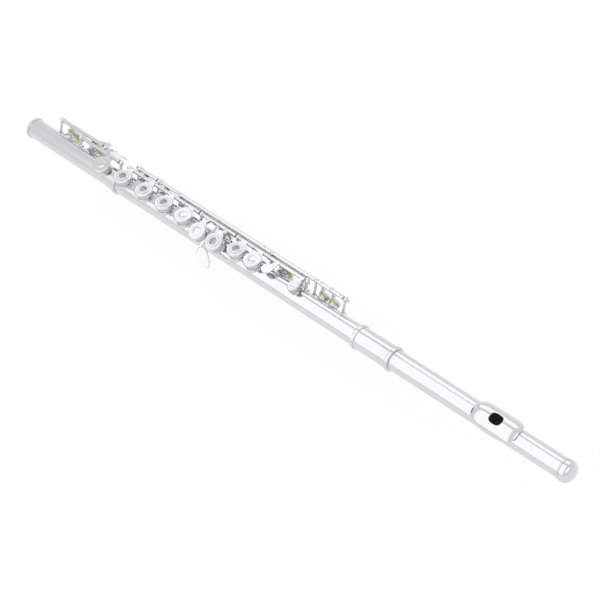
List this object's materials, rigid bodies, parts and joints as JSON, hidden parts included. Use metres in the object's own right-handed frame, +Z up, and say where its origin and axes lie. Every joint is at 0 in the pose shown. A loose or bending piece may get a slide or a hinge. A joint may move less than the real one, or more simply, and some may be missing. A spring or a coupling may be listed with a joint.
{
  "type": "concert flute",
  "caption": "Silver concert flute in three joints with open-hole keys, an offset G group, a closed G sharp lever and a C foot.",
  "frame": {"origin": "centre of the open end of the foot joint's tube", "axes": "+X along the tube to the crown, +Z up through the top row of keys and the embouchure hole, +Y towards the player, where the key rods are"},
  "size_m": [0.6735, 0.0521, 0.04],
  "materials": {
    "silver_tube": "polished",
    "silver_keys": "polished",
    "silver_rings": "polished",
    "rod_steel": "satin",
    "spring_bronze": "satin",
    "pad_skin": "satin",
    "cork": "matte"
  },
  "bodies": {
    "footjoint": {"foot_tube": "silver_tube", "foot_end_ring": "silver_rings", "foot_socket_ring": "silver_rings", "foot_posts": "silver_keys", "foot_rod_steels": "rod_steel", "foot_needle_springs": "spring_bronze"},
    "body": {"body_tube": "silver_tube", "barrel": "silver_tube", "barrel_rings": "silver_rings", "body_ribs": "silver_keys", "body_posts": "silver_keys", "body_rod_steels": "rod_steel", "pivot_screws": "rod_steel", "body_needle_springs": "spring_bronze"},
    "head": {"head_tube": "silver_tube", "lip_plate": "silver_rings", "embouchure_riser": "silver_rings"},
    "crown": {"crown": "silver_rings"},
    "stopper": {"stopper_screw": "rod_steel", "stopper_cork": "cork", "stopper_nut": "rod_steel"},
    "roller": {"low_c_roller": "silver_keys"},
    "low_c": {"low_c_key": "silver_keys", "low_c_pad": "pad_skin"},
    "c_sharp": {"c_sharp_key": "silver_keys", "c_sharp_pad": "pad_skin"},
    "d_sharp": {"d_sharp_key": "silver_keys", "d_sharp_pad": "pad_skin"},
    "d": {"d_key": "silver_keys", "d_pad": "pad_skin"},
    "e": {"e_key": "silver_keys", "e_pad": "pad_skin"},
    "f": {"f_key": "silver_keys", "f_pad": "pad_skin"},
    "f_sharp": {"f_sharp_key": "silver_keys", "f_sharp_pad": "pad_skin"},
    "lower_g": {"lower_g_key": "silver_keys", "lower_g_pad": "pad_skin"},
    "upper_g": {"upper_g_key": "silver_keys", "upper_g_pad": "pad_skin"},
    "a": {"a_key": "silver_keys", "a_pad": "pad_skin"},
    "b_flat": {"b_flat_key": "silver_keys", "b_flat_pad": "pad_skin"},
    "small_c_sharp": {"small_c_sharp_key": "silver_keys", "small_c_sharp_pad": "pad_skin"},
    "g_sharp": {"g_sharp_key": "silver_keys", "g_sharp_pad": "pad_skin"},
    "thumb_b": {"thumb_b_key": "silver_keys", "thumb_b_pad": "pad_skin"},
    "thumb_b_flat": {"thumb_b_flat_lever": "silver_keys"},
    "side_b_flat": {"b_flat_side_lever": "silver_keys"},
    "d_trill": {"d_trill_key": "silver_keys", "d_trill_pad": "pad_skin"},
    "d_sharp_trill": {"d_sharp_trill_key": "silver_keys", "d_sharp_trill_pad": "pad_skin"}
  },
  "joints": [
    {"name": "body_turn", "type": "hinge", "parent": "footjoint", "child": "body", "pos_m": [0.123, 0, 0], "axis": [1, 0, 0], "range_deg": [-20, 20]},
    {"name": "head_slide", "type": "slide", "parent": "body", "child": "head", "axis": [1, 0, 0], "range_m": [0, 0.04]},
    {"name": "crown_turn", "type": "hinge", "parent": "head", "child": "crown", "pos_m": [0.662, 0, 0], "axis": [1, 0, 0], "range_deg": [-540, 540]},
    {"name": "stopper_slide", "type": "slide", "parent": "head", "child": "stopper", "axis": [1, 0, 0], "range_m": [-0.0013, 0.0013]},
    {"name": "low_c_key_turn", "type": "hinge", "parent": "footjoint", "child": "low_c", "pos_m": [0.042, 0.0178, 0.0138], "axis": [-1, 0, 0], "range_deg": [0, 10], "stiffness_Nm_per_rad": 0.009, "springref_deg": -28.65},
    {"name": "c_sharp_key_turn", "type": "hinge", "parent": "footjoint", "child": "c_sharp", "pos_m": [0.0755, 0.013, 0.013], "axis": [-1, 0, 0], "range_deg": [0, 10], "stiffness_Nm_per_rad": 0.009, "springref_deg": -28.65},
    {"name": "d_sharp_key_turn", "type": "hinge", "parent": "footjoint", "child": "d_sharp", "pos_m": [0.1075, 0.013, 0.013], "axis": [-1, 0, 0], "range_deg": [0, 8], "stiffness_Nm_per_rad": 0.009, "springref_deg": -28.65},
    {"name": "d_key_turn", "type": "hinge", "parent": "body", "child": "d", "pos_m": [0.1385, 0.013, 0.013], "axis": [1, 0, 0], "range_deg": [0, 10], "stiffness_Nm_per_rad": 0.009, "springref_deg": -28.65},
    {"name": "e_key_turn", "type": "hinge", "parent": "body", "child": "e", "pos_m": [0.1679, 0.013, 0.013], "axis": [1, 0, 0], "range_deg": [0, 10], "stiffness_Nm_per_rad": 0.009, "springref_deg": -28.65},
    {"name": "f_key_turn", "type": "hinge", "parent": "body", "child": "f", "pos_m": [0.1956, 0.013, 0.013], "axis": [1, 0, 0], "range_deg": [0, 10], "stiffness_Nm_per_rad": 0.009, "springref_deg": -28.65},
    {"name": "f_sharp_key_turn", "type": "hinge", "parent": "body", "child": "f_sharp", "pos_m": [0.2218, 0.013, 0.013], "axis": [1, 0, 0], "range_deg": [0, 10], "stiffness_Nm_per_rad": 0.009, "springref_deg": -28.65},
    {"name": "lower_g_key_turn", "type": "hinge", "parent": "body", "child": "lower_g", "pos_m": [0.2459, 0.013, 0.013], "axis": [1, 0, 0], "range_deg": [0, 10], "stiffness_Nm_per_rad": 0.009, "springref_deg": -28.65},
    {"name": "upper_g_key_turn", "type": "hinge", "parent": "body", "child": "upper_g", "pos_m": [0.2678, 0.013, 0.013], "axis": [1, 0, 0], "range_deg": [0, 10], "stiffness_Nm_per_rad": 0.009, "springref_deg": -28.65},
    {"name": "a_key_turn", "type": "hinge", "parent": "body", "child": "a", "pos_m": [0.2918, 0.013, 0.013], "axis": [1, 0, 0], "range_deg": [0, 10], "stiffness_Nm_per_rad": 0.009, "springref_deg": -28.65},
    {"name": "b_flat_key_turn", "type": "hinge", "parent": "body", "child": "b_flat", "pos_m": [0.3126, 0.013, 0.013], "axis": [1, 0, 0], "range_deg": [0, 10], "stiffness_Nm_per_rad": 0.009, "springref_deg": -28.65},
    {"name": "small_c_sharp_key_turn", "type": "hinge", "parent": "body", "child": "small_c_sharp", "pos_m": [0.3636, 0.013, 0.013], "axis": [1, 0, 0], "range_deg": [0, 10], "stiffness_Nm_per_rad": 0.009, "springref_deg": -28.65},
    {"name": "g_sharp_key_turn", "type": "hinge", "parent": "body", "child": "g_sharp", "pos_m": [0.258, 0.013, 0.013], "axis": [1, 0, 0], "range_deg": [0, 7], "stiffness_Nm_per_rad": 0.009, "springref_deg": -28.65},
    {"name": "thumb_b_key_turn", "type": "hinge", "parent": "body", "child": "thumb_b", "pos_m": [0.334, 0.0175, 0.0092], "axis": [-1, 0, 0], "range_deg": [0, 10], "stiffness_Nm_per_rad": 0.009, "springref_deg": -28.65},
    {"name": "thumb_b_flat_lever_turn", "type": "hinge", "parent": "body", "child": "thumb_b_flat", "pos_m": [0.35, 0.0175, 0.0092], "axis": [-1, 0, 0], "range_deg": [0, 10], "stiffness_Nm_per_rad": 0.009, "springref_deg": -28.65},
    {"name": "side_b_flat_lever_turn", "type": "hinge", "parent": "body", "child": "side_b_flat", "pos_m": [0.2086, 0.0175, 0.0092], "axis": [1, 0, 0], "range_deg": [0, 6], "stiffness_Nm_per_rad": 0.009, "springref_deg": -28.65},
    {"name": "d_trill_key_turn", "type": "hinge", "parent": "body", "child": "d_trill", "pos_m": [0.3846, 0.0178, 0.0138], "axis": [1, 0, 0], "range_deg": [0, 6], "stiffness_Nm_per_rad": 0.009, "springref_deg": -28.65},
    {"name": "d_sharp_trill_key_turn", "type": "hinge", "parent": "body", "child": "d_sharp_trill", "pos_m": [0.3972, 0.0178, 0.0138], "axis": [1, 0, 0], "range_deg": [0, 6], "stiffness_Nm_per_rad": 0.009, "springref_deg": -28.65},
    {"name": "roller_spin", "type": "hinge", "parent": "low_c", "child": "roller", "pos_m": [0.0894, 0.02258, 0.00826], "axis": [0, 0.6157, -0.788], "continuous": true}
  ],
  "couplings": [
    {"joint": "stopper_slide", "follows": "crown_turn", "m_per_rad": 0.00012732},
    {"joint": "f_sharp_key_turn", "follows": "d_key_turn", "ratio": 1},
    {"joint": "lower_g_key_turn", "follows": "upper_g_key_turn", "ratio": 1},
    {"joint": "b_flat_key_turn", "follows": "a_key_turn", "ratio": 1}
  ]
}
